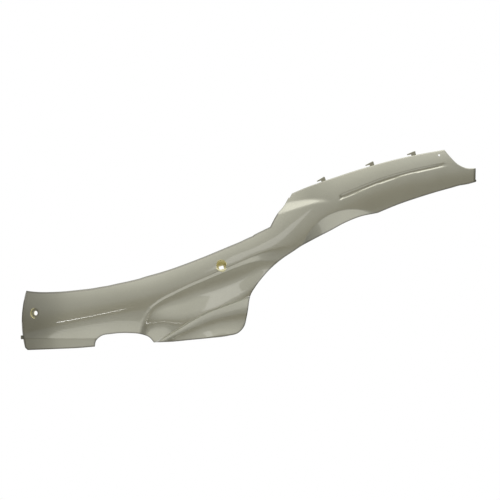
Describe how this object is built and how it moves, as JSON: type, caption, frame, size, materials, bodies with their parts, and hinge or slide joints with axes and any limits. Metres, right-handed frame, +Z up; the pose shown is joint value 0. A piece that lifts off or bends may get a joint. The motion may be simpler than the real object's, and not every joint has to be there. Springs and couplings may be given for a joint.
{
  "type": "motorcycle lower fairing",
  "caption": "Long sculpted lower side fairing panel with an arch cut-out, a fin, a cupped screw fixing, edge hooks and a grooved tail, painted outside.",
  "frame": {"origin": "centre of the floor of the centre fixing's cup, on the axis of the nut hole", "axes": "+X along the panel towards the tail, +Y inwards to the vehicle, +Z up as the panel hangs on the vehicle; the painted face looks along -Y"},
  "size_m": [0.8246, 0.0469, 0.3625],
  "materials": {
    "painted_plastic": "gloss"
  },
  "bodies": {
    "root": {"fairing_panel": "painted_plastic"}
  },
  "joints": []
}
